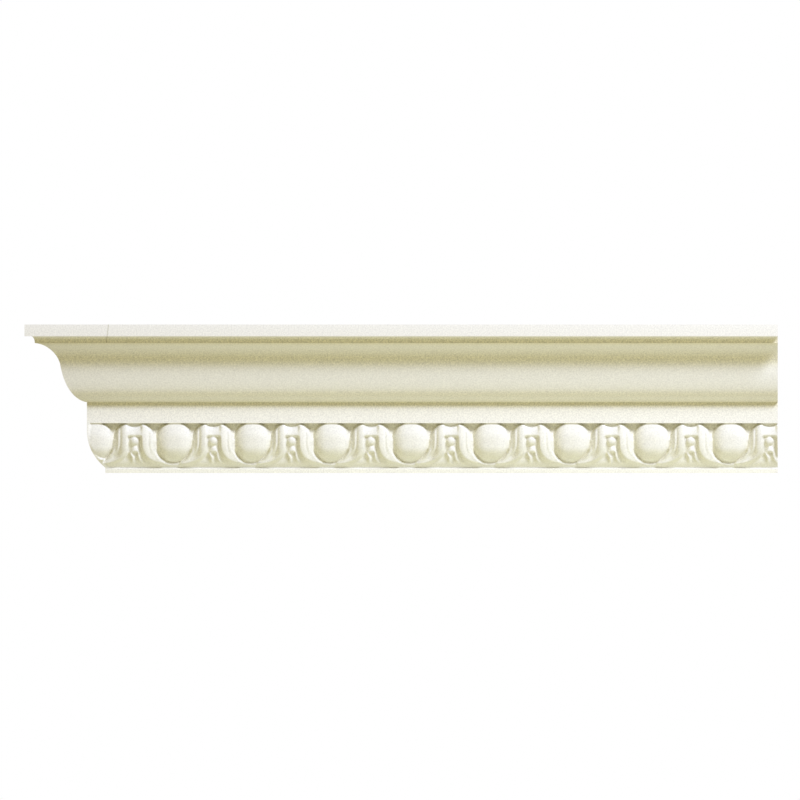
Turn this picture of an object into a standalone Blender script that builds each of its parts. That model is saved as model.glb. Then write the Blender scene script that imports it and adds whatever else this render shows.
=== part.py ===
"""A length of egg-and-dart cornice, cast in one piece, for the corner of a wall and a ceiling.

Metres, +Z up. X runs along the cornice, the wall is the plane y = 0 and the room is at -Y. The origin is
the middle of the flat that rests on the wall. The left end is mitred for an outside corner, the right end
is square.
"""

import math

import bmesh
import bpy
from mathutils import Matrix, Vector
from mathutils.geometry import interpolate_bezier

# Length along the wall, and the two flats that rest on the wall and the ceiling
WALL_LENGTH = 0.4987
WALL_SEAT = 0.036
CEILING_SEAT = 0.030
MITRE_ANGLE = math.radians(45)

# Members of the section from the base up: the height of each, and how far it steps out into the room
BASE_HEIGHT = 0.0042
BASE_THICKNESS = 0.0084
BAND_HEIGHT = 0.0335
BAND_STEP = 0.0139
BAND_LIP = 0.0055
FASCIA_HEIGHT = 0.0158
FASCIA_QUIRK = 0.0007
CYMA_HEIGHT = 0.0445
CYMA_STEP = 0.0386
CAVETTO_HEIGHT = 0.0051
CAVETTO_STEP = 0.0029
TOP_FILLET_HEIGHT = 0.0089
TOP_FILLET_STEP = 0.0049

# The cyma turns over at this share of its height and step, and leaves its ends and its middle at these slopes
CYMA_TURN = (0.62, 0.50)
CYMA_HEAD_SLOPE = math.radians(4)
CYMA_MIDDLE_SLOPE = math.radians(80)
CYMA_FOOT_SLOPE = math.radians(12)
CYMA_STEPS = 6
CAVETTO_STEPS = 4
# A curve's handles, as a share of the distance between its ends
BOW_REACH = 0.35

# Carving: the distance from egg to egg, and from the square end to its nearest egg. The ground is shallow
# beside the base fillet and reaches its full depth at a share of the band's height
EGG_PITCH = 0.060
END_TO_EGG = 0.0360
GROUND_DEPTH = 0.0060
FOOT_LEDGE = 0.0022
ROOT_DEPTH = 0.0012
GROUND_FULL_SHARE = 0.4
GROUND_STEPS = 5

# Sizes of the carving as shares: widths of the pitch, heights of the band, insets of the ground's depth
EGG_CENTRE = 0.580
EGG_HALF_WIDTH = 0.231
EGG_HALF_HEIGHT = 0.485
EGG_HALF_LENGTH = 0.53
EGG_HALF_THICKNESS = 0.27
EGG_PROUD = 0.0006
EGG_SIDES = 14
EGG_RINGS = 9
CUP_HALF_WIDTH = 0.405
CUP_HALF_HEIGHT = 0.53
CUP_PULL_IN = 0.05
CREST_HEIGHT = 0.955
DIP_HEIGHT = 0.89
ARCH_HEIGHT = 0.71
SADDLE_INSETS = (0.06, 0.14)
BALL_HEIGHT = 0.58
BALL_RADIUS = 0.060
BALL_INSET = 0.15

# An arm's face from the dart to the egg: foot, ridge, hollow, crease. Its upper rings have a height and how
# far the face reaches towards the egg, and its lower rings go round to the tip under the egg
ARM_INSETS = (1.0, 0.04, 0.30, 0.85)
ARM_FOOT = 0.30
ARM_UPPER = ((CREST_HEIGHT, 0.30), (0.895, 0.55), (0.81, 0.82), (0.71, 1.0), (EGG_CENTRE, 1.0))
ARM_LOWER_TURNS = [math.radians(turn) for turn in (18, 33, 46, 59, 74)]

# Rings of the bell and the petals: height, half width, and the insets of the middle and the edges. The
# heights are shares of the ball's height, and of the bell's foot. The petals also spread from the middle
BELL_RINGS = ((0.88, 0.022, 0.40, 0.75), (0.51, 0.057, 0.15, 0.50))
BELL_FOOT = BELL_RINGS[-1][0] * BALL_HEIGHT
PETAL_RINGS = ((1.10, 0.014, 0.12, 0.22), (0.60, 0.020, 0.12, 0.22), (0.14, 0.016, 0.12, 0.22))
PETAL_SPREADS = (0.02, 0.05, 0.10)

# How far the uncut length runs past its cuts, and the angle past which an edge stays sharp
OVERRUN = 0.010
SHARP_ANGLE = math.radians(35)

BASE_BOTTOM = -WALL_SEAT / 2
BAND_FOOT = BASE_BOTTOM + BASE_HEIGHT
FASCIA_FOOT = BAND_FOOT + BAND_HEIGHT
CYMA_FOOT = FASCIA_FOOT + FASCIA_HEIGHT
CYMA_HEAD = CYMA_FOOT + CYMA_HEIGHT
FILLET_FOOT = CYMA_HEAD + CAVETTO_HEIGHT
TOP = FILLET_FOOT + TOP_FILLET_HEIGHT
FASCIA_DEPTH = BASE_THICKNESS + BAND_STEP
CYMA_FOOT_DEPTH = FASCIA_DEPTH + FASCIA_QUIRK
CYMA_HEAD_DEPTH = CYMA_FOOT_DEPTH + CYMA_STEP
CAVETTO_DEPTH = CYMA_HEAD_DEPTH + CAVETTO_STEP
TOP_DEPTH = CAVETTO_DEPTH + TOP_FILLET_STEP
MITRE_REACH = TOP_DEPTH * math.tan(MITRE_ANGLE)


def bow(start, start_slope, end, end_slope, steps):
    """Points of a smooth curve from start to end, in depth and height, each end at its slope."""
    start = Vector(start)
    end = Vector(end)
    reach = BOW_REACH * (end - start).length
    leave = start + reach * Vector((-math.cos(start_slope), -math.sin(start_slope)))
    arrive = end - reach * Vector((-math.cos(end_slope), -math.sin(end_slope)))
    return interpolate_bezier(start, leave, arrive, end, steps + 1)


def front(height):
    """Depth of the uncarved ovolo at a height above the band's foot."""
    rise = BAND_HEIGHT - BAND_LIP
    radius = (BAND_STEP**2 + rise**2) / (2 * BAND_STEP)
    below = min(max(rise - height, 0), rise)
    return FASCIA_DEPTH - radius + math.sqrt(radius**2 - below**2)


def ground(height):
    """Depth of the carving's ground at a height above the band's foot."""
    share = min(max(height, 0) / (GROUND_FULL_SHARE * BAND_HEIGHT), 1)
    return front(height) - FOOT_LEDGE - (GROUND_DEPTH - FOOT_LEDGE) * share


def section():
    """Outline of the cornice as points of depth and height, from the top front corner down and round."""
    turn = (CYMA_HEAD_DEPTH - CYMA_TURN[1] * CYMA_STEP, CYMA_FOOT + CYMA_TURN[0] * CYMA_HEIGHT)
    head = (CYMA_HEAD_DEPTH, CYMA_HEAD)
    foot = (CYMA_FOOT_DEPTH, CYMA_FOOT)
    points = [(TOP_DEPTH, TOP), (TOP_DEPTH, FILLET_FOOT)]
    points += bow((CAVETTO_DEPTH, FILLET_FOOT), 0, head, math.pi / 2, CAVETTO_STEPS)
    points += bow(head, CYMA_HEAD_SLOPE, turn, CYMA_MIDDLE_SLOPE, CYMA_STEPS)[1:]
    points += bow(turn, CYMA_MIDDLE_SLOPE, foot, CYMA_FOOT_SLOPE, CYMA_STEPS)[1:]
    points += [(FASCIA_DEPTH, CYMA_FOOT), (FASCIA_DEPTH, FASCIA_FOOT)]
    for step in range(GROUND_STEPS + 1):
        height = BAND_HEIGHT * (1 - step / GROUND_STEPS)
        points.append((ground(height), BAND_FOOT + height))
    points += [(BASE_THICKNESS, BAND_FOOT), (BASE_THICKNESS, BASE_BOTTOM), (0, BASE_BOTTOM)]
    points += [(0, BASE_BOTTOM + WALL_SEAT), (TOP_DEPTH - CEILING_SEAT, TOP)]
    return points


def new_object(name, shape, material=None):
    """Makes an object of a closed bmesh, with flat faces that point outwards."""
    warped = [face for face in shape.faces if len(face.verts) == 4]
    bmesh.ops.triangulate(shape, faces=warped)
    bmesh.ops.recalc_face_normals(shape, faces=shape.faces)
    mesh = bpy.data.meshes.new(name)
    shape.to_mesh(mesh)
    shape.free()
    mesh.shade_smooth()
    mesh.set_sharp_from_angle(angle=SHARP_ANGLE)
    if material:
        mesh.materials.append(material)
    item = bpy.data.objects.new(name, mesh)
    bpy.context.scene.collection.objects.link(item)
    return item


def loft(shape, rings):
    """Adds a closed skin through rings that have the same number of points."""
    loops = [[shape.verts.new(point) for point in ring] for ring in rings]
    for near, far in zip(loops, loops[1:]):
        for index in range(len(near)):
            after = (index + 1) % len(near)
            shape.faces.new((near[index], near[after], far[after], far[index]))
    shape.faces.new(reversed(loops[0]))
    shape.faces.new(loops[-1])


def carved(x, height, inset):
    """A point of the carving, at an inset behind the ovolo's face."""
    return Vector((x, inset - front(height), BAND_FOOT + height))


def rooted(x, height):
    """A point just inside the ground, behind the carving."""
    return Vector((x, ROOT_DEPTH - ground(height), BAND_FOOT + height))


def add_egg(shape, x):
    """An egg that leans back with the ovolo, its crown a little proud of the fascia."""
    half_width = EGG_HALF_WIDTH * EGG_PITCH
    half_length = EGG_HALF_LENGTH * BAND_HEIGHT
    half_thickness = EGG_HALF_THICKNESS * BAND_HEIGHT
    lean = math.atan2(BAND_STEP, BAND_HEIGHT - BAND_LIP)
    reach = math.hypot(half_thickness * math.cos(lean), half_length * math.sin(lean))
    centre = Vector((x, reach - FASCIA_DEPTH - EGG_PROUD, BAND_FOOT + EGG_CENTRE * BAND_HEIGHT))
    place = Matrix.Translation(centre) @ Matrix.Rotation(lean, 4, "X")
    size = Matrix.Diagonal((half_width, half_thickness, half_length, 1))
    bmesh.ops.create_uvsphere(
        shape, u_segments=EGG_SIDES, v_segments=EGG_RINGS, radius=1, matrix=place @ size
    )


def arm_rings(x, side):
    """Rings of one arm of a cup, from its crest beside the dart down and round to its tip under the egg."""
    cup_width = CUP_HALF_WIDTH * EGG_PITCH
    cup_height = CUP_HALF_HEIGHT * BAND_HEIGHT
    egg_width = EGG_HALF_WIDTH * EGG_PITCH
    egg_height = EGG_HALF_HEIGHT * BAND_HEIGHT
    centre = EGG_CENTRE * BAND_HEIGHT
    spans = []
    for share, spread in ARM_UPPER:
        above = (share - EGG_CENTRE) / (CREST_HEIGHT - EGG_CENTRE)
        pull_in = 1 - CUP_PULL_IN * above**2
        ridge = Vector((cup_width * pull_in, share * BAND_HEIGHT))
        egg = Vector((egg_width * pull_in, share * BAND_HEIGHT))
        spans.append((ridge, egg, spread))
    for turn in ARM_LOWER_TURNS:
        ridge = Vector((cup_width * math.cos(turn), centre - cup_height * math.sin(turn)))
        egg = Vector((egg_width * math.cos(turn), centre - egg_height * math.sin(turn)))
        spans.append((ridge, egg, 1))
    rings = []
    for ridge, egg, spread in spans:
        foot = ridge.lerp(egg, -ARM_FOOT)
        across = (foot, ridge, ridge.lerp(egg, spread / 2), ridge.lerp(egg, spread))
        ring = []
        for (reach, height), inset in zip(across, ARM_INSETS):
            deepest = front(height) - ground(height)
            ring.append(carved(x + side * reach, height, min(inset * GROUND_DEPTH, deepest)))
        ring.append(rooted(x + side * across[3].x, across[3].y))
        ring.append(rooted(x + side * foot.x, foot.y))
        rings.append(ring)
    return rings


def add_saddle(shape, x):
    """The bar that joins two arms over the dart, dipped in its middle."""
    crest_reach = CUP_HALF_WIDTH * EGG_PITCH * (1 - CUP_PULL_IN)
    half = EGG_PITCH / 2 - crest_reach
    arch = ARCH_HEIGHT * BAND_HEIGHT
    rings = []
    for share in (-1, -0.5, 0, 0.5, 1):
        rise = math.sin(share * math.pi / 2) ** 2
        top = BAND_HEIGHT * (DIP_HEIGHT + (CREST_HEIGHT - DIP_HEIGHT) * rise)
        across = x + share * half
        ring = [carved(across, top, SADDLE_INSETS[0] * GROUND_DEPTH)]
        ring.append(carved(across, arch, SADDLE_INSETS[1] * GROUND_DEPTH))
        ring += [rooted(across, arch), rooted(across, top)]
        rings.append(ring)
    loft(shape, rings)


def ridge_ring(x, share, half_share, middle_inset, edge_inset):
    """A ring of a low ridge that runs down the band: its left edge, middle, right edge and root."""
    height = share * BAND_HEIGHT
    half = half_share * EGG_PITCH
    return [
        carved(x - half, height, edge_inset * GROUND_DEPTH),
        carved(x, height, middle_inset * GROUND_DEPTH),
        carved(x + half, height, edge_inset * GROUND_DEPTH),
        rooted(x + half, height),
        rooted(x - half, height),
    ]


def add_dart(shape, x):
    """The ball, the bell under it and the three petals that spread to the base fillet."""
    radius = BALL_RADIUS * EGG_PITCH
    ball = carved(x, BALL_HEIGHT * BAND_HEIGHT, BALL_INSET * GROUND_DEPTH + radius)
    bmesh.ops.create_uvsphere(
        shape, u_segments=8, v_segments=6, radius=radius, matrix=Matrix.Translation(ball)
    )
    loft(shape, [ridge_ring(x, share * BALL_HEIGHT, *rest) for share, *rest in BELL_RINGS])
    for side in (-1, 0, 1):
        rings = []
        for (share, *rest), spread in zip(PETAL_RINGS, PETAL_SPREADS):
            rings.append(ridge_ring(x + side * spread * EGG_PITCH, share * BELL_FOOT, *rest))
        loft(shape, rings)


def carving():
    """The carving's forms, from one unit past the square end to one past the mitre."""
    forms = []
    for index in range(-1, math.ceil((WALL_LENGTH + MITRE_REACH) / EGG_PITCH) + 1):
        x = WALL_LENGTH / 2 - END_TO_EGG - index * EGG_PITCH
        egg = bmesh.new()
        add_egg(egg, x)
        forms.append(new_object(f"egg_{index}", egg))
        for side in (-1, 1):
            arm = bmesh.new()
            loft(arm, arm_rings(x, side))
            forms.append(new_object(f"arm_{index}_{side}", arm))
        dart = bmesh.new()
        add_dart(dart, x + EGG_PITCH / 2)
        add_saddle(dart, x + EGG_PITCH / 2)
        forms.append(new_object(f"dart_{index}", dart))
    return forms


def end_cutter(name, corner, turn):
    """A block whose near face cuts off an end, through a corner on the wall, turned from square."""
    shape = bmesh.new()
    size = WALL_LENGTH + MITRE_REACH
    bmesh.ops.create_cube(shape, size=size)
    bmesh.ops.translate(shape, vec=(size / 2, 0, 0), verts=shape.verts)
    bmesh.ops.rotate(shape, matrix=Matrix.Rotation(turn, 3, "Z"), verts=shape.verts)
    bmesh.ops.translate(shape, vec=(corner, 0, 0), verts=shape.verts)
    return new_object(name, shape)


def cast_polyurethane():
    material = bpy.data.materials.new("cast_polyurethane")
    material.use_nodes = True
    shader = material.node_tree.nodes["Principled BSDF"]
    shader.inputs["Base Color"].default_value = (0.83, 0.80, 0.68, 1)
    shader.inputs["Roughness"].default_value = 0.75
    shader.inputs["Metallic"].default_value = 0
    return material


def cornice_moulding():
    """The extruded section with its carving joined on and its two ends cut."""
    shape = bmesh.new()
    left = -WALL_LENGTH / 2 - MITRE_REACH - OVERRUN
    outline = [shape.verts.new((left, -depth, height)) for depth, height in section()]
    end = shape.faces.new(outline)
    swept = bmesh.ops.extrude_face_region(shape, geom=[end])
    moved = [item for item in swept["geom"] if isinstance(item, bmesh.types.BMVert)]
    bmesh.ops.translate(shape, vec=(WALL_LENGTH / 2 + OVERRUN - left, 0, 0), verts=moved)
    moulding = new_object("cornice_moulding", shape, cast_polyurethane())

    forms = bpy.data.collections.new("carving")
    bpy.context.scene.collection.children.link(forms)
    for form in carving():
        bpy.context.scene.collection.objects.unlink(form)
        forms.objects.link(form)
        form.hide_render = True
        form.display_type = "WIRE"
    join = moulding.modifiers.new("carving", "BOOLEAN")
    join.operation = "UNION"
    join.operand_type = "COLLECTION"
    join.collection = forms
    join.solver = "EXACT"

    square_end = end_cutter("square_end_cutter", WALL_LENGTH / 2, 0)
    mitred_end = end_cutter("mitred_end_cutter", -WALL_LENGTH / 2, math.pi - MITRE_ANGLE)
    for cutter in (square_end, mitred_end):
        cutter.hide_render = True
        cutter.display_type = "WIRE"
        cut = moulding.modifiers.new(cutter.name, "BOOLEAN")
        cut.operation = "DIFFERENCE"
        cut.object = cutter
        cut.solver = "EXACT"


for item in list(bpy.data.objects):
    bpy.data.objects.remove(item, do_unlink=True)
cornice_moulding()
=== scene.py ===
"""Looks of a length of egg-and-dart cornice: one casting, modelled finely in the place of its solid."""

import math

import bmesh
import bpy
import numpy as np
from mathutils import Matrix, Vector
from mathutils.geometry import interpolate_bezier


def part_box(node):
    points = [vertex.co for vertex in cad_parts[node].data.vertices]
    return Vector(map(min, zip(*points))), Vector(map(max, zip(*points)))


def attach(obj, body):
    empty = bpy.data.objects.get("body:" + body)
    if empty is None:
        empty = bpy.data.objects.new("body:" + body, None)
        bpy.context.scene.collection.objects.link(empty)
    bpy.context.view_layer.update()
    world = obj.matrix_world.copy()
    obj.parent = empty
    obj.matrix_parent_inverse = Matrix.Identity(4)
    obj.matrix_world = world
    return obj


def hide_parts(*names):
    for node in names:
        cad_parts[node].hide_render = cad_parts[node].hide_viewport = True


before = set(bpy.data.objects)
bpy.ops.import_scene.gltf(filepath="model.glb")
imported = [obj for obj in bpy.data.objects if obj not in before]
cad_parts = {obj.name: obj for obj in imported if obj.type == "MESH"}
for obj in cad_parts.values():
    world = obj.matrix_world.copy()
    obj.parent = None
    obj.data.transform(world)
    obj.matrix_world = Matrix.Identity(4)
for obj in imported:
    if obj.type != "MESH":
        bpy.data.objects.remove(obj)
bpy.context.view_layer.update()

# The casting's reach, from its solid: +X along it, +Y into the wall, +Z up to the ceiling
low, high = (Vector(corner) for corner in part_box("cornice_moulding"))
TOP_DEPTH = -low.y
BASE_BOTTOM = low.z
TOP = high.z
SQUARE_END = high.x
MITRE_CORNER = low.x + TOP_DEPTH

# Members of the section from the base up: the height of each, and how far it steps out into the room
BASE_HEIGHT = 0.0042
BASE_THICKNESS = 0.0084
BAND_HEIGHT = 0.0335
BAND_STEP = 0.0139
BAND_LIP = 0.0055
FASCIA_HEIGHT = 0.0158
FASCIA_QUIRK = 0.0007
CYMA_HEIGHT = 0.0445
CYMA_STEP = 0.0386
CAVETTO_HEIGHT = 0.0051
CAVETTO_STEP = 0.0029
WALL_SEAT = 0.036
CEILING_SEAT = 0.030
ARRIS = 0.0005

# The cyma turns over at a share of its step and of its height, and has a slope at its head, turn and foot
CYMA_TURN = (0.62, 0.50)
CYMA_HEAD_SLOPE = math.radians(4)
CYMA_TURN_SLOPE = math.radians(80)
CYMA_FOOT_SLOPE = math.radians(12)
BOW_REACH = 0.35
CYMA_STEPS = 20
CAVETTO_STEPS = 10

# Lines down the fascia's head, close enough together for the painted shade under the cyma to fade over them
FASCIA_LINES = (0, 0.0015, 0.003, 0.005)

BAND_FOOT = BASE_BOTTOM + BASE_HEIGHT
FASCIA_FOOT = BAND_FOOT + BAND_HEIGHT
CYMA_FOOT = FASCIA_FOOT + FASCIA_HEIGHT
CYMA_HEAD = CYMA_FOOT + CYMA_HEIGHT
FILLET_FOOT = CYMA_HEAD + CAVETTO_HEIGHT
FASCIA_DEPTH = BASE_THICKNESS + BAND_STEP
CYMA_FOOT_DEPTH = FASCIA_DEPTH + FASCIA_QUIRK
CYMA_HEAD_DEPTH = CYMA_FOOT_DEPTH + CYMA_STEP
CAVETTO_DEPTH = CYMA_HEAD_DEPTH + CAVETTO_STEP

# The carving repeats from egg to egg, in columns of faces
EGG_PITCH = 0.060
END_TO_EGG = 0.0360
FIRST_EGG = SQUARE_END - END_TO_EGG
COLUMN = 0.0005

# The spacing wanders a little, as the hand-made master's did: one slow wave, and an egg here and there,
# counted from 0 at the square end, that sits nearer that end
WANDER = 0.0008
WANDER_LENGTH = 0.378
EGG_SHIFTS = ((1, 0.0004), (5, 0.0003), (7, 0.0009), (8, 0.0007))
EGG_SHIFT_REACH = 0.013

# A hairline down the front near the mitre: where it meets the top, its lean and half its width
HAIRLINE_X = -0.2553
HAIRLINE_LEAN = 0.125
HAIRLINE_HALF = 0.0006

MM = 0.001
NEAR = 1e-6

# Painted shade on the plain members, where shadows and occlusion fall: under the top fillet, across the cyma,
# on the fascia under it and along the bottom. Each line gives the height of a band of it, its reach and its
# strength
PAINTED_SHADE_BANDS = (
    (CYMA_HEAD + 0.0015, 0.0025, 1.2),
    (CYMA_FOOT + 0.73 * CYMA_HEIGHT, 0.0055, 0.85),
    (CYMA_FOOT + 0.0063, 0.0025, 0.45),
    (CYMA_FOOT - 0.0015, 0.0026, 0.9),
    (CYMA_FOOT - 0.0100, 0.0070, 0.24),
    (BASE_BOTTOM, 0.0040, 0.3),
)
# Painted shade on the carving: its strength with depth behind the ovolo, and on faces turned left, away from
# the key light
CARVED_PAINTED_SHADE = 0.4
LEFT_FACING_PAINTED_SHADE = 0.4

# The carving's sizes below are in millimetres: across from the egg's middle, up from the band's foot, and
# in behind the face of the uncarved ovolo
BAND_TOP = BAND_HEIGHT / MM
HALF_PITCH = EGG_PITCH / MM / 2
MITRE_FADE = 2.2

# The ground behind the carving: shallower at the band's foot and beside the dart, and deeper by
# TOP_GROUND under the fascia
GROUND = 6.0
FOOT_GROUND = 1.5
NICHE_GROUND = 3.8
TOP_GROUND = 1.2
CARVED_FOOT = -1.0
LEDGE = BAND_FOOT + CARVED_FOOT * MM

# The egg, whose belly stands a little proud
EGG_MIDDLE = 21.0
EGG_HALF_WIDTH = 13.9
EGG_TOP_HALF = 13.1
EGG_BOTTOM_HALF = 17.2
EGG_RELIEF = 6.6
EGG_TOP_LOSS = 4.2
BELLY_UP = 13.0
BELLY_REACH = 4.0
BELLY_RELIEF = 0.7

# The arms round the egg: their outer edge, and pairs of a share of their width from the egg out with how
# far in the face lies there, above the egg's middle and below it on either side
RIM_HALF_WIDTH = 24.9
RIM_BOTTOM_HALF = 18.9
RIM_FULLNESS = 3.0
SHOULDER_OUT = 22.5
SHOULDER_POWER = 1.5
UPPER_ARM = (
    (0, 3.8), (0.12, 3.2), (0.26, 2.4), (0.33, 1.5), (0.38, 1.1), (0.43, 1.2), (0.475, 2.3),
    (0.52, 0.95), (0.60, 0.5), (0.70, 0.15), (0.80, 0.02), (0.92, 0.02), (0.97, 0.2), (1, 0.6),
)
LEFT_ARM = ((0, 2.6), (0.15, 2.2), (0.40, 1.7), (0.60, 1.0), (0.72, 0.5), (0.82, 0.1), (0.92, 0.3), (1, 1.2))
RIGHT_ARM = (
    (0, 1.3), (0.05, 0.9), (0.14, 1.3), (0.30, 2.7), (0.45, 2.8),
    (0.60, 2.0), (0.72, 0.9), (0.82, 0.1), (0.92, 0.3), (1, 1.2),
)

# The saddle over the dart
CREST_TOP = 32.2
CREST_OUT = 7.2
DIP_TOP = 30.1
DISH = 0.7
ARCH_TOP = 23.7
ARCH_HALF_WIDTH = 5.1
ARCH_CORNER = 1.4

# The dart, a little left of the middle between two eggs: ball, bell, and two legs, each as pairs of a
# height with how far to the side the leg's middle lies there
DART_SHIFT = -0.4
BALL_UP = 19.9
BALL_RADIUS = 3.5
BALL_INSET = 0.8
BALL_FULLNESS = 0.65
BELL_TOP = 16.0
BELL_FOOT = 11.6
BELL_SHIFT = 0.8
LEG_SHIFT = 0.4
LEFT_LEG = ((-1.0, -1.3), (3.3, -1.2), (5.6, -1.3), (7.8, -1.2), (10.1, -2.6), (12.0, -2.8))
RIGHT_LEG = ((-1.0, 8.4), (3.3, 5.8), (5.6, 4.2), (7.8, 3.2), (10.1, 3.0), (12.0, 2.9))
LEFT_LEG_HALF = 1.3
RIGHT_LEG_HALF = 1.5
NOTCH = (1.1, 10.0)
PITS = ((-4.4, 0.2), (2.4, 0.2))


def smooth(low_edge, high_edge, value):
    """Rises smoothly from 0 to 1 between two edges."""
    share = np.clip((value - low_edge) / (high_edge - low_edge), 0, 1)
    return share * share * (3 - 2 * share)


def along_pairs(value, pairs):
    """Reads a line that is given as pairs, straight from each to the next."""
    places, results = zip(*pairs)
    return np.interp(value, places, results)


def nearest_front(one, other, blend=0.35):
    """The more proud of two surfaces, given how far each lies behind the ovolo, with a soft join."""
    share = np.clip(0.5 + 0.5 * (other - one) / blend, 0, 1)
    return other + (one - other) * share - blend * share * (1 - share)


def oval_gap(across, up, half_width, half_height, fullness):
    """Distance outside an oval, near enough. Fullness 2 is an ellipse, and more is squarer."""
    wide = np.abs(across) / half_width
    tall = np.abs(up) / half_height
    total = wide**fullness + tall**fullness + 1e-9
    ratio = total ** (1 / fullness)
    slope = np.hypot(wide ** (fullness - 1) / half_width, tall ** (fullness - 1) / half_height)
    return (ratio - 1) / (slope * total ** (1 / fullness - 1) + 1e-9)


def front(up):
    """How far the uncarved ovolo stands out from the wall."""
    rise = (BAND_HEIGHT - BAND_LIP) / MM
    step = BAND_STEP / MM
    radius = (step**2 + rise**2) / (2 * step)
    below = np.clip(rise - up, 0, rise)
    return FASCIA_DEPTH / MM - radius + np.sqrt(radius**2 - below**2)


def wall(distance, reach=0.8):
    """A steep drop to the ground that starts where distance passes 0."""
    return GROUND * np.clip(distance / reach, 0, 2)


def lower_fullness(across):
    """The egg's lower end is fuller on its left."""
    return 2.28 - 0.23 * np.tanh(across / 3)


def egg(across, up):
    """A full egg with its round end up, its crown level with the ovolo and its belly a little proud."""
    rise = up - EGG_MIDDLE
    half_height = np.where(rise > 0, EGG_TOP_HALF, EGG_BOTTOM_HALF)
    fullness = np.where(rise > 0, 2.0, lower_fullness(across))
    wide = (np.abs(across) / EGG_HALF_WIDTH) ** fullness
    tall = (np.abs(rise) / half_height) ** fullness
    total = wide + tall + 1e-9
    ratio = total ** (1 / fullness)
    relief = EGG_RELIEF - EGG_TOP_LOSS * smooth(25.0, 33.0, up)
    squareness = 2.2 + np.where(rise > 0, 0.5, 2.6) * tall / total
    fall = 1 - np.sqrt(np.clip(1 - ratio**squareness, 0, 1))
    belly = BELLY_RELIEF * np.exp(-(((up - BELLY_UP) / BELLY_REACH) ** 2))
    belly = belly * np.clip(1 - ratio**2, 0, 1) ** 0.5
    return np.where(ratio < 1, relief * fall - belly, GROUND + 2)


def egg_gap(across, up):
    """Distance outside the egg's lower half, which runs straight up its sides above the middle."""
    rise = np.minimum(up - EGG_MIDDLE, 0)
    return oval_gap(across, rise, EGG_HALF_WIDTH, EGG_BOTTOM_HALF, lower_fullness(across))


def saddle_top(across):
    """Height of the bar over the dart: two crests with a dip between."""
    beside = HALF_PITCH - np.abs(across)
    return DIP_TOP + (CREST_TOP - DIP_TOP) * np.sin(np.clip(beside / CREST_OUT, 0, 1) * math.pi / 2) ** 2


def shoulder_gap(out, rise):
    """Distance inside the arm's shoulder, which sweeps out from the egg's side to the crest."""
    share = np.clip(rise / (CREST_TOP - EGG_MIDDLE), 0, 1) ** SHOULDER_POWER
    contour = SHOULDER_OUT - (SHOULDER_OUT - EGG_HALF_WIDTH) * (1 - share) ** (1 / SHOULDER_POWER)
    return np.where(rise > 0, contour - out, -9)


def arms(across, up):
    """The two arms round an egg: from the egg out, a lip, a hollow, a bead, a groove and a ridge."""
    out = np.abs(across)
    rise = up - EGG_MIDDLE
    inner_gap = np.where(rise > 0, out - EGG_HALF_WIDTH, egg_gap(across, up))
    rim_gap = oval_gap(across, np.minimum(rise, 0), RIM_HALF_WIDTH, RIM_BOTTOM_HALF, RIM_FULLNESS)
    rim_gap = np.where(rise > 0, out - RIM_HALF_WIDTH, rim_gap)
    width = np.maximum(inner_gap - rim_gap, 0.5)
    share = np.clip(inner_gap / width, 0, 1)
    lower = np.where(across < 0, along_pairs(share, LEFT_ARM), along_pairs(share, RIGHT_ARM))
    face = lower + (along_pairs(share, UPPER_ARM) - lower) * smooth(8.0, 16.0, up)
    face = 0.05 + face * np.clip(width / 9, 0.2, 1)
    past_shoulder = shoulder_gap(out, rise)
    face += 1.4 * np.clip(1 + past_shoulder / 2.2, 0, 1) ** 2 + wall(past_shoulder)
    face += wall(up - saddle_top(across)) + wall(-inner_gap)
    tip = np.where(across < 0, smooth(4.0, 8.0, out), smooth(1.5, 4.5, out))
    face += GROUND * (1 - tip) * (rise < 0)
    side = 1.1 + wall(rim_gap, 0.9 + 2.6 * smooth(18.0, 8.0, up))
    return np.where(rim_gap > 0, side, face)


def saddle(across, up):
    """The bar over the dart, dished between its crests and rounded back to its top."""
    beside = HALF_PITCH - np.abs(across)
    dish = DISH * np.cos(np.clip(beside / CREST_OUT, 0, 1) * math.pi / 2) ** 2
    lean = 0.1 + dish + 1.3 * np.clip((up - ARCH_TOP) / 6.5, 0, 1.2) ** 1.6
    in_corner = np.clip(beside - ARCH_HALF_WIDTH + ARCH_CORNER, 0, ARCH_CORNER)
    arch = ARCH_TOP - ARCH_CORNER + np.sqrt(ARCH_CORNER**2 - in_corner**2)
    return lean + wall(arch - up, 0.6) + wall(up - saddle_top(across)) + wall(beside - 7.0, 1.0)


def ball(beside, up):
    """A slightly flattened ball."""
    distance = np.hypot(beside, up - BALL_UP)
    fall = BALL_RADIUS - np.sqrt(np.clip(BALL_RADIUS**2 - distance**2, 0, None))
    return np.where(distance < BALL_RADIUS, BALL_INSET + BALL_FULLNESS * fall, GROUND + 2)


def bell(beside, up):
    """A bell that widens and comes forward towards its foot."""
    share = (BELL_TOP - up) / (BELL_TOP - BELL_FOOT)
    half_width = 2.0 + 1.6 * np.clip(share, 0, 1)
    side = np.abs(beside - BELL_SHIFT) / half_width
    face = 2.6 - 1.7 * share + 1.2 * side**2
    return np.where((share > 0) & (share < 1) & (side < 1), face, GROUND + 2)


def leg(beside, up, path, half_width):
    """A rounded leg below the bell, along its path."""
    side = np.abs(beside - LEG_SHIFT - along_pairs(up, path)) / half_width
    face = 0.9 + 1.5 * side**2 + 0.8 * smooth(6.0, 2.0, up) + 0.7 * smooth(9.0, 11.0, up)
    return np.where((side < 1.5) & (up < BELL_FOOT), face, GROUND + 2)


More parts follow.
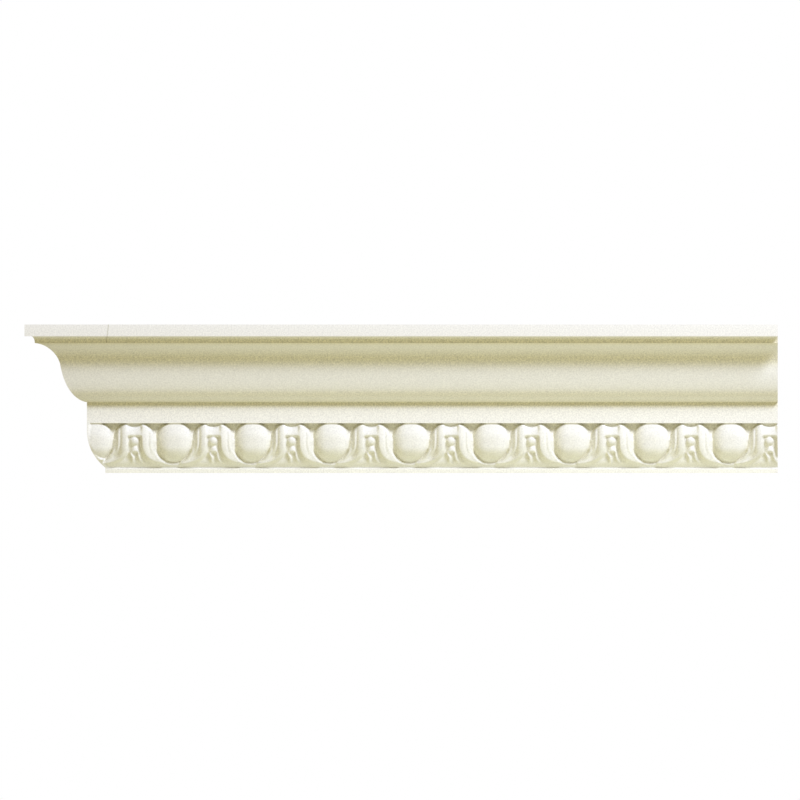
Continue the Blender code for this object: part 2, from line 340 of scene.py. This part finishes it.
def dart(across, up):
    """The ball, the bell and its legs under the saddle, with a notch below the bell and two pits."""
    beside = np.where(across < 0, across + HALF_PITCH, across - HALF_PITCH) - DART_SHIFT
    result = nearest_front(ball(beside, up), bell(beside, up))
    result = nearest_front(result, leg(beside, up, LEFT_LEG, LEFT_LEG_HALF))
    result = nearest_front(result, leg(beside, up, RIGHT_LEG, RIGHT_LEG_HALF))
    result = result + 2.0 * np.exp(-(((beside - NOTCH[0]) / 1.5) ** 2 + ((up - NOTCH[1]) / 1.4) ** 2))
    for pit_beside, pit_up in PITS:
        result = result + 1.6 * np.exp(-((beside - pit_beside) ** 2 + (up - pit_up) ** 2) / 1.8)
    return result


def carving(across, up):
    """How far behind the uncarved ovolo the carving lies."""
    ground = FOOT_GROUND + (GROUND - FOOT_GROUND) * smooth(1.0, 15.0, up)
    ground = ground + TOP_GROUND * smooth(22.0, 27.0, up)
    beside = HALF_PITCH - np.abs(across)
    ground = np.where(beside < 7.5, np.minimum(ground, NICHE_GROUND), ground)
    surface = nearest_front(ground, arms(across, up))
    surface = nearest_front(surface, saddle(across, up))
    surface = nearest_front(surface, dart(across, up))
    surface = nearest_front(surface, egg(across, up))
    crease = 3.2 * np.exp(-((egg_gap(across, up) / 0.85) ** 2)) * (1 - smooth(10.0, 15.0, up))
    return np.minimum(surface + crease, np.maximum(surface, GROUND))


def soften(surface, times):
    """Rounds the carving as a casting's soft edges are, on a repeat that joins up with itself."""
    for _ in range(times):
        surface = (np.roll(surface, 1, axis=1) + 2 * surface + np.roll(surface, -1, axis=1)) / 4
        padded = np.pad(surface, ((1, 1), (0, 0)), mode="edge")
        surface = (padded[:-2] + 2 * surface + padded[2:]) / 4
    return surface


def select_only(piece):
    bpy.ops.object.select_all(action="DESELECT")
    piece.select_set(True)
    bpy.context.view_layer.objects.active = piece


def join_into(piece, others):
    select_only(piece)
    for other in others:
        other.select_set(True)
    bpy.ops.object.join()


def select_edges(piece, wanted):
    """In edit mode, selects the wanted edges alone."""
    bpy.ops.mesh.select_all(action="DESELECT")
    shape = bmesh.from_edit_mesh(piece.data)
    for edge in shape.edges:
        edge.select = wanted(edge)
    bmesh.update_edit_mesh(piece.data)


def select_rim(piece, wanted):
    """In edit mode, selects the open edges whose two ends are both wanted places."""
    select_edges(piece, lambda edge: edge.is_boundary and all(wanted(vertex.co) for vertex in edge.verts))


def points_of(mesh):
    """The places of a mesh's points, a row for each."""
    points = np.empty(len(mesh.vertices) * 3, np.float32)
    mesh.vertices.foreach_get("co", points)
    return points.reshape(-1, 3)


def move_points(mesh, points):
    mesh.vertices.foreach_set("co", points.ravel())
    mesh.update()


def carved_repeat():
    """One repeat of the carved band, from dart to dart, pushed in from a flat grid."""
    columns = round(EGG_PITCH / COLUMN)
    end_rows = np.array([0, 0.12, 0.25, 0.4, 0.6, 0.85])
    middle_rows = np.linspace(CARVED_FOOT + 1.2, BAND_TOP - 1.2, 68)
    rows = np.concatenate([CARVED_FOOT + end_rows, middle_rows, BAND_TOP - end_rows[::-1]])
    bpy.ops.mesh.primitive_grid_add(x_subdivisions=columns, y_subdivisions=len(rows) - 1, size=2)
    band = bpy.context.object
    points = points_of(band.data).reshape(len(rows), columns + 1, 3)
    across = points[:, :, 0] * HALF_PITCH
    up = np.repeat(rows[:, None], columns + 1, axis=1)
    inset = soften(carving(across[:, :-1], up[:, :-1]), 2)
    inset = np.concatenate([inset, inset[:, :1]], axis=1)
    inset *= smooth(0, 0.9, up - CARVED_FOOT) * smooth(0, 0.5, BAND_TOP - up)
    points[:, :, 0] = FIRST_EGG + across * MM
    points[:, :, 1] = -(front(up) - inset) * MM
    points[:, :, 2] = BAND_FOOT + up * MM
    move_points(band.data, points)
    return band


def wander(points):
    """Shifts the carving a little along the moulding."""
    along = points[:, 0].copy()
    points[:, 0] += WANDER * np.cos(2 * math.pi * (along - MITRE_CORNER) / WANDER_LENGTH)
    for index, shift in EGG_SHIFTS:
        away = (along - (FIRST_EGG - index * EGG_PITCH)) / EGG_SHIFT_REACH
        points[:, 0] += shift * np.exp(-(away**2))


def fade_at_mitre(points):
    """Brings the carving out to the uncarved ovolo beside the mitre, so that the mitre's outline is clean."""
    from_mitre = (points[:, 0] - points[:, 1] - MITRE_CORNER) / MM
    uncarved = -front((points[:, 2] - BAND_FOOT) / MM) * MM
    points[:, 1] = uncarved + (points[:, 1] - uncarved) * smooth(0, MITRE_FADE, from_mitre)


def carved_band():
    """The repeats side by side, from past the square end to past the mitre, merged into one sheet."""
    first = carved_repeat()
    copies = []
    for step in (-1, *range(1, math.ceil((SQUARE_END - low.x) / EGG_PITCH) + 1)):
        select_only(first)
        bpy.ops.object.duplicate()
        copies.append(bpy.context.object)
        bpy.ops.transform.translate(value=(-step * EGG_PITCH, 0, 0))
    join_into(first, copies)
    bpy.ops.object.transform_apply(location=True, rotation=True, scale=True)
    bpy.ops.object.mode_set(mode="EDIT")
    bpy.ops.mesh.select_all(action="SELECT")
    bpy.ops.mesh.remove_doubles(threshold=0.02 * MM)
    bpy.ops.object.mode_set(mode="OBJECT")
    points = points_of(first.data)
    wander(points)
    fade_at_mitre(points)
    move_points(first.data, points)
    return first


def bow(start, start_slope, end, end_slope, steps):
    """Points of a smooth curve from start to end, in depth and height, each end at its slope."""
    start = Vector(start)
    end = Vector(end)
    reach = BOW_REACH * (end - start).length
    leave = start + reach * Vector((-math.cos(start_slope), -math.sin(start_slope)))
    arrive = end - reach * Vector((-math.cos(end_slope), -math.sin(end_slope)))
    return interpolate_bezier(start, leave, arrive, end, steps + 1)


def plain_section():
    """The section from just above the carved band up over the top, down the back and round to its foot."""
    turn = (CYMA_HEAD_DEPTH - CYMA_TURN[1] * CYMA_STEP, CYMA_FOOT + CYMA_TURN[0] * CYMA_HEIGHT)
    head = (CYMA_HEAD_DEPTH, CYMA_HEAD)
    foot = (CYMA_FOOT_DEPTH, CYMA_FOOT)
    front_face = [(TOP_DEPTH, TOP), (TOP_DEPTH, FILLET_FOOT)]
    front_face += bow((CAVETTO_DEPTH, FILLET_FOOT), 0, head, math.pi / 2, CAVETTO_STEPS)
    front_face += bow(head, CYMA_HEAD_SLOPE, turn, CYMA_TURN_SLOPE, CYMA_STEPS)[1:]
    front_face += bow(turn, CYMA_TURN_SLOPE, foot, CYMA_FOOT_SLOPE, CYMA_STEPS)[1:]
    front_face += [(FASCIA_DEPTH, CYMA_FOOT - drop) for drop in FASCIA_LINES]
    front_face += [(FASCIA_DEPTH, FASCIA_FOOT + ARRIS)]
    back = [(TOP_DEPTH - CEILING_SEAT, TOP), (0, BASE_BOTTOM + WALL_SEAT), (0, BASE_BOTTOM)]
    back += [(BASE_THICKNESS, BASE_BOTTOM), (BASE_THICKNESS, LEDGE - ARRIS)]
    return [Vector(point) for point in front_face[::-1] + back]


def runs_along(edge, corners):
    """Whether an edge runs along the moulding at one of the section's corners, given in depth and height."""
    return any(
        all(abs(vertex.co.y + depth) < NEAR and abs(vertex.co.z - height) < NEAR for vertex in edge.verts)
        for depth, height in corners
    )


def plain_members(left, right):
    """The plain members and the back: a strip extruded point by point along the section."""
    points = plain_section()
    bpy.ops.mesh.primitive_plane_add(size=1)
    plain = bpy.context.object
    bpy.ops.object.mode_set(mode="EDIT")
    shape = bmesh.from_edit_mesh(plain.data)
    for vertex in shape.verts:
        point = points[0] if vertex.co.y < 0 else points[1]
        vertex.co = (left if vertex.co.x < 0 else right, -point.x, point.y)
    bmesh.update_edit_mesh(plain.data)
    select_rim(plain, lambda place: abs(place.z - points[1].y) < NEAR)
    for before, after in zip(points[1:], points[2:]):
        step = (0, before.x - after.x, after.y - before.y)
        bpy.ops.mesh.extrude_region_move(TRANSFORM_OT_translate={"value": step})
    corners = [(TOP_DEPTH, TOP), (TOP_DEPTH, FILLET_FOOT), (CYMA_HEAD_DEPTH, CYMA_HEAD)]
    corners += [(CYMA_FOOT_DEPTH, CYMA_FOOT), (BASE_THICKNESS, BASE_BOTTOM)]
    select_edges(plain, lambda edge: runs_along(edge, corners))
    bpy.ops.mesh.bevel(offset=ARRIS, segments=3, affect="EDGES")
    bpy.ops.object.mode_set(mode="OBJECT")
    return plain


def cast_cornice():
    """The carved band and the plain members cut at the two ends, then bridged and closed into one casting."""
    casting = carved_band()
    along = [corner[0] for corner in casting.bound_box]
    join_into(casting, [plain_members(min(along), max(along))])
    bpy.ops.object.mode_set(mode="EDIT")
    ends = [(Vector((SQUARE_END, 0, 0)), Vector((1, 0, 0)))]
    ends += [(Vector((MITRE_CORNER, 0, 0)), Vector((-1, 1, 0)).normalized())]
    for corner, outward in ends:
        bpy.ops.mesh.select_all(action="SELECT")
        bpy.ops.mesh.bisect(plane_co=corner, plane_no=outward, clear_outer=True, threshold=NEAR)
    for height, depth, gap in ((FASCIA_FOOT, FASCIA_DEPTH, ARRIS), (LEDGE, BASE_THICKNESS, -ARRIS)):
        seam = (height, height + gap)
        select_rim(
            casting,
            lambda place: abs(place.y + depth) < NEAR and min(abs(place.z - line) for line in seam) < NEAR,
        )
        bpy.ops.mesh.bridge_edge_loops()
    for corner, outward in ends:
        select_rim(casting, lambda place: abs((place - corner).dot(outward)) < NEAR)
        bpy.ops.mesh.edge_face_add()
    bpy.ops.mesh.select_all(action="SELECT")
    bpy.ops.mesh.normals_make_consistent(inside=False)
    bpy.ops.object.mode_set(mode="OBJECT")
    bpy.ops.object.shade_smooth_by_angle(angle=math.radians(60))
    casting.name = "cast_cornice"
    casting.data.name = "cast_cornice"
    return casting


def paint_shade_marks(piece):
    """Notes on every point how much painted shade it gets, from 0 on the open faces to 1 in the hollows: by
    depth in the carving, on its faces turned from the key light, and in bands along the plain members.
    """
    mesh = piece.data
    points = points_of(mesh)
    depth = -points[:, 1]
    height = points[:, 2]
    up = (height - BAND_FOOT) / MM
    carved = (up > CARVED_FOOT) & (up < BAND_TOP) & (depth > BASE_THICKNESS + 0.2 * MM)
    behind = (front(np.clip(up, 0, BAND_TOP)) - depth / MM) / GROUND
    normals = np.empty(len(mesh.vertices) * 3, np.float32)
    mesh.vertex_normals.foreach_get("vector", normals)
    # Faces turned left, away from the key light at the right, get painted shade
    turned_from_key = smooth(0.1, 0.55, -normals.reshape(-1, 3)[:, 0])
    painted_shade = np.where(carved, CARVED_PAINTED_SHADE * smooth(0.4, 1.0, behind) + LEFT_FACING_PAINTED_SHADE * turned_from_key, 0)
    in_front = depth > BASE_THICKNESS - 1 * MM
    # Painted shade in bands along the plain members, where shadows and occlusion fall
    for middle, reach, strength in PAINTED_SHADE_BANDS:
        away = (height - middle) / reach
        painted_shade += np.where(in_front & ~carved, strength * np.exp(-(away**2)), 0)
    attribute = mesh.attributes.new("painted_shade", "FLOAT", "POINT")
    attribute.data.foreach_set("value", np.clip(painted_shade, 0, 1).astype(np.float32))


class Signal:
    """A value in a material, so that shader maths is written as an expression."""

    def __init__(self, material, socket):
        self.material = material
        self.socket = socket

    def maths(self, operation, *values):
        inputs = dict(enumerate((self, *values)))
        return self.material.node("ShaderNodeMath", {"operation": operation}, inputs)

    def absolute(self):
        return self.maths("ABSOLUTE")

    def __add__(self, other):
        return self.maths("ADD", other)

    __radd__ = __add__

    def __mul__(self, other):
        return self.maths("MULTIPLY", other)

    __rmul__ = __mul__

    def __sub__(self, other):
        return self.maths("SUBTRACT", other)

    def __rsub__(self, other):
        return (self * -1.0).maths("ADD", other)


class Finish:
    """A material that is built up from nodes."""

    def __init__(self, name):
        self.data = bpy.data.materials.new(name)
        self.data.use_nodes = True
        self.shader = self.data.node_tree.nodes["Principled BSDF"]

    def node(self, kind, settings=None, inputs=None, output=0):
        made = self.data.node_tree.nodes.new(kind)
        for name, value in (settings or {}).items():
            setattr(made, name, value)
        for name, value in (inputs or {}).items():
            self.feed(made.inputs[name], value)
        return Signal(self, made.outputs[output])

    def feed(self, socket, value):
        if isinstance(value, Signal):
            self.data.node_tree.links.new(value.socket, socket)
        else:
            socket.default_value = value

    def split(self, vector):
        """The three parts of a vector."""
        return [self.node("ShaderNodeSeparateXYZ", {}, {0: vector}, output=part) for part in range(3)]

    def blend(self, factor, one, other):
        """Mixes two colours."""
        settings = {"data_type": "RGBA"}
        return self.node("ShaderNodeMix", settings, {0: factor, 6: one, 7: other}, output=2)


def hairline_share(finish, place):
    """Rises from 0 to 1 at the hairline, which shows on the cavetto and the top fillet."""
    across, inward, height = finish.split(place)
    off_line = (across - HAIRLINE_X + HAIRLINE_LEAN * (TOP - height)).absolute()
    share = (1 - off_line * (1 / HAIRLINE_HALF)).maths("MAXIMUM", 0.0)
    return share * height.maths("GREATER_THAN", CYMA_HEAD) * inward.maths("LESS_THAN", -CYMA_HEAD_DEPTH)


def cast_primer():
    """Matt cream primer on cast foam: a fine grain and faint mottling, with painted shade, a darker yellower
    colour, laid in the hollows and on faces turned from the light.
    """
    finish = Finish("cast_primer")
    place = finish.node("ShaderNodeTexCoord", output=3)
    grain = finish.node("ShaderNodeTexNoise", {}, {"Vector": place, "Scale": 950.0, "Detail": 1.0})
    mottle = finish.node("ShaderNodeTexNoise", {}, {"Vector": place, "Scale": 60.0, "Detail": 3.0})
    painted_shade = finish.node("ShaderNodeAttribute", {"attribute_name": "painted_shade"}, output=2)
    face = (0.87, 0.866, 0.80, 1)
    # The colour below is painted shade, mixed in where the shade marks lie
    shade_colour = (0.72, 0.68, 0.45, 1)
    warm = (0.85, 0.83, 0.74, 1)
    line = (0.35, 0.32, 0.16, 1)
    colour = finish.blend(painted_shade * 0.9, face, shade_colour)
    colour = finish.blend(mottle * 0.25, colour, warm)
    colour = finish.blend(hairline_share(finish, place) * 0.5, colour, line)
    speckle = 1 + (grain - 0.5) * (0.34 + 0.5 * painted_shade)
    colour = finish.node("ShaderNodeVectorMath", {"operation": "SCALE"}, {0: colour, "Scale": speckle})
    shader = finish.shader
    finish.feed(shader.inputs["Base Color"], colour)
    finish.feed(shader.inputs["Roughness"], 0.68 + 0.12 * mottle)
    bump = finish.node("ShaderNodeBump", {}, {"Strength": 0.2, "Distance": 0.2 * MM, "Height": grain})
    finish.feed(shader.inputs["Normal"], bump)
    shader.inputs["Specular IOR Level"].default_value = 0.3
    return finish.data


def floor():
    """A plain pale floor, a hair below the moulding."""
    bpy.ops.object.select_all(action="DESELECT")
    bpy.ops.mesh.primitive_plane_add(size=8, location=(0, 0, BASE_BOTTOM - 0.5 * MM))
    ground = bpy.context.object
    ground.name = "floor"
    finish = Finish("pale_floor")
    finish.shader.inputs["Base Color"].default_value = (0.88, 0.86, 0.60, 1)
    finish.shader.inputs["Roughness"].default_value = 0.9
    ground.data.materials.append(finish.data)


def key_light():
    """A soft round light from the upper right, in front."""
    elevation = math.radians(38)
    azimuth = math.radians(33)
    distance = 3.4
    level = math.cos(elevation)
    towards = Vector((level * math.sin(azimuth), -level * math.cos(azimuth), math.sin(elevation)))
    middle = Vector((0.5 * (low.x + high.x), -0.03, 0.5 * (low.z + high.z)))
    bpy.ops.object.light_add(type="AREA", location=middle + distance * towards)
    light = bpy.context.object
    light.name = "key"
    light.data.shape = "DISK"
    light.data.size = 1.08
    light.data.energy = 132
    light.data.color = (0.73, 0.775, 1.0)
    light.rotation_euler = (middle - light.location).to_track_quat("-Z", "Y").to_euler()


def surroundings():
    """A warm even fill, with a white background where the camera looks past everything."""
    world = bpy.data.worlds.new("studio")
    world.use_nodes = True
    nodes = world.node_tree.nodes
    links = world.node_tree.links
    nodes.clear()
    output = nodes.new("ShaderNodeOutputWorld")
    mix = nodes.new("ShaderNodeMixShader")
    path = nodes.new("ShaderNodeLightPath")
    fill = nodes.new("ShaderNodeBackground")
    seen = nodes.new("ShaderNodeBackground")
    fill.inputs["Color"].default_value = (1.0, 0.76, 0.25, 1)
    fill.inputs["Strength"].default_value = 0.22
    seen.inputs["Color"].default_value = (1, 1, 1, 1)
    links.new(path.outputs["Is Camera Ray"], mix.inputs[0])
    links.new(fill.outputs[0], mix.inputs[1])
    links.new(seen.outputs[0], mix.inputs[2])
    links.new(mix.outputs[0], output.inputs[0])
    bpy.context.scene.world = world
    bpy.context.scene.view_settings.view_transform = "Standard"


def camera():
    """Looks square at the front, with the moulding at the photograph's size and place in the frame."""
    frame_pixels = 800
    top_pixel, bottom_pixel = 324.5, 473.0
    right_pixel = 777.7
    distance = 2
    scale = (TOP - BASE_BOTTOM) / (bottom_pixel - top_pixel)
    x = SQUARE_END - (right_pixel - frame_pixels / 2) * scale
    z = BASE_BOTTOM + (bottom_pixel - frame_pixels / 2) * scale
    data = bpy.data.cameras.new("camera")
    data.type = "ORTHO"
    data.ortho_scale = frame_pixels * scale
    data.clip_end = 100
    item = bpy.data.objects.new("camera", data)
    item.location = (x, -distance, z)
    item.rotation_euler = (math.pi / 2, 0, 0)
    bpy.context.scene.collection.objects.link(item)
    bpy.context.scene.camera = item


piece = cast_cornice()
paint_shade_marks(piece)
piece.data.materials.clear()
piece.data.materials.append(cast_primer())
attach(piece, "root")
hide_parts("cornice_moulding")
floor()
key_light()
surroundings()
camera()
